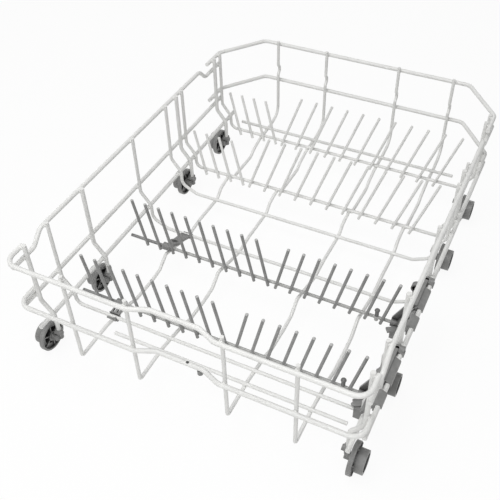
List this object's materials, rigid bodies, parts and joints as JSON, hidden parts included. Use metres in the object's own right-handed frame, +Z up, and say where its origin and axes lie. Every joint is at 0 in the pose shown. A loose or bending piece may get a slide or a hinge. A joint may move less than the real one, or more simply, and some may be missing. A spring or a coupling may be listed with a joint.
{
  "type": "dishwasher basket",
  "caption": "Low coated-wire dishwasher basket that rolls on flanged wheels, with folding and fixed rows of plate tines and moulded lock brackets.",
  "frame": {"origin": "on the floor under the middle of the basket", "axes": "+X to the right seen from the front, +Y to the rear wall, +Z up"},
  "size_m": [0.3918, 0.5262, 0.155],
  "materials": {
    "white_coated_wire": "smooth nylon coating, satin",
    "grey_coated_wire": "smooth nylon coating, satin",
    "grey_plastic": "moulded, satin",
    "wheel_plastic": "moulded, satin"
  },
  "bodies": {
    "basket": {"front_upper_rim": "white_coated_wire", "front_lower_rim": "white_coated_wire", "rear_upper_rim": "white_coated_wire", "rear_middle_rim": "white_coated_wire", "left_upper_rim": "white_coated_wire", "left_middle_rim": "white_coated_wire", "left_lower_rail": "white_coated_wire", "right_upper_rim": "white_coated_wire", "right_middle_rim": "white_coated_wire", "right_lower_rail": "white_coated_wire", "cross_wire_front": "white_coated_wire", "cross_wire_second": "white_coated_wire", "cross_wire_third": "white_coated_wire", "cross_wire_fourth": "white_coated_wire", "cross_wire_rear": "white_coated_wire", "cross_bar_front": "white_coated_wire", "cross_bar_rear": "white_coated_wire", "length_wire_left_outer": "white_coated_wire", "length_wire_left_inner": "white_coated_wire", "length_wire_right_inner": "white_coated_wire", "length_wire_right_outer": "white_coated_wire", "wheel_leg_left_1": "white_coated_wire", "wheel_leg_left_2": "white_coated_wire", "wheel_leg_left_3": "white_coated_wire", "wheel_leg_left_4": "white_coated_wire", "wheel_leg_right_1": "white_coated_wire", "wheel_leg_right_2": "white_coated_wire", "wheel_leg_right_3": "white_coated_wire", "wheel_leg_right_4": "white_coated_wire", "fixed_tines_front": "white_coated_wire", "fixed_tines_rear": "white_coated_wire", "wheel_holder_left_1": "grey_plastic", "wheel_holder_left_2": "grey_plastic", "wheel_holder_left_3": "grey_plastic", "wheel_holder_left_4": "grey_plastic", "wheel_holder_right_1": "grey_plastic", "wheel_holder_right_2": "grey_plastic", "wheel_holder_right_3": "grey_plastic", "wheel_holder_right_4": "grey_plastic", "hinge_clip_front": "grey_plastic", "hinge_clip_rear": "grey_plastic", "lock_bracket_front": "grey_plastic", "lock_bracket_rear": "grey_plastic", "front_stop": "grey_plastic"},
    "front_rack": {"fold_rod_front": "grey_coated_wire", "fold_tines_front": "grey_coated_wire"},
    "rear_rack": {"fold_rod_rear": "grey_coated_wire", "fold_tines_rear": "grey_coated_wire"},
    "roller_left_1": {"wheel_left_1": "wheel_plastic"},
    "roller_left_2": {"wheel_left_2": "wheel_plastic"},
    "roller_left_3": {"wheel_left_3": "wheel_plastic"},
    "roller_left_4": {"wheel_left_4": "wheel_plastic"},
    "roller_right_1": {"wheel_right_1": "wheel_plastic"},
    "roller_right_2": {"wheel_right_2": "wheel_plastic"},
    "roller_right_3": {"wheel_right_3": "wheel_plastic"},
    "roller_right_4": {"wheel_right_4": "wheel_plastic"}
  },
  "joints": [
    {"name": "front_rack_fold", "type": "hinge", "parent": "basket", "child": "front_rack", "pos_m": [0, -0.17847, 0.0385], "axis": [-1, 0, 0], "range_deg": [0, 90]},
    {"name": "rear_rack_fold", "type": "hinge", "parent": "basket", "child": "rear_rack", "pos_m": [0, -0.07418, 0.0385], "axis": [-1, 0, 0], "range_deg": [0, 90]},
    {"name": "roll_left_1", "type": "hinge", "parent": "basket", "child": "roller_left_1", "pos_m": [-0.188, -0.23897, 0.01835], "axis": [1, 0, 0], "continuous": true},
    {"name": "roll_left_2", "type": "hinge", "parent": "basket", "child": "roller_left_2", "pos_m": [-0.188, -0.13797, 0.01835], "axis": [1, 0, 0], "continuous": true},
    {"name": "roll_left_3", "type": "hinge", "parent": "basket", "child": "roller_left_3", "pos_m": [-0.188, 0.06953, 0.01835], "axis": [1, 0, 0], "continuous": true},
    {"name": "roll_left_4", "type": "hinge", "parent": "basket", "child": "roller_left_4", "pos_m": [-0.188, 0.17403, 0.01835], "axis": [1, 0, 0], "continuous": true},
    {"name": "roll_right_1", "type": "hinge", "parent": "basket", "child": "roller_right_1", "pos_m": [0.188, -0.23897, 0.01835], "axis": [1, 0, 0], "continuous": true},
    {"name": "roll_right_2", "type": "hinge", "parent": "basket", "child": "roller_right_2", "pos_m": [0.188, -0.13797, 0.01835], "axis": [1, 0, 0], "continuous": true},
    {"name": "roll_right_3", "type": "hinge", "parent": "basket", "child": "roller_right_3", "pos_m": [0.188, 0.06953, 0.01835], "axis": [1, 0, 0], "continuous": true},
    {"name": "roll_right_4", "type": "hinge", "parent": "basket", "child": "roller_right_4", "pos_m": [0.188, 0.17403, 0.01835], "axis": [1, 0, 0], "continuous": true}
  ]
}
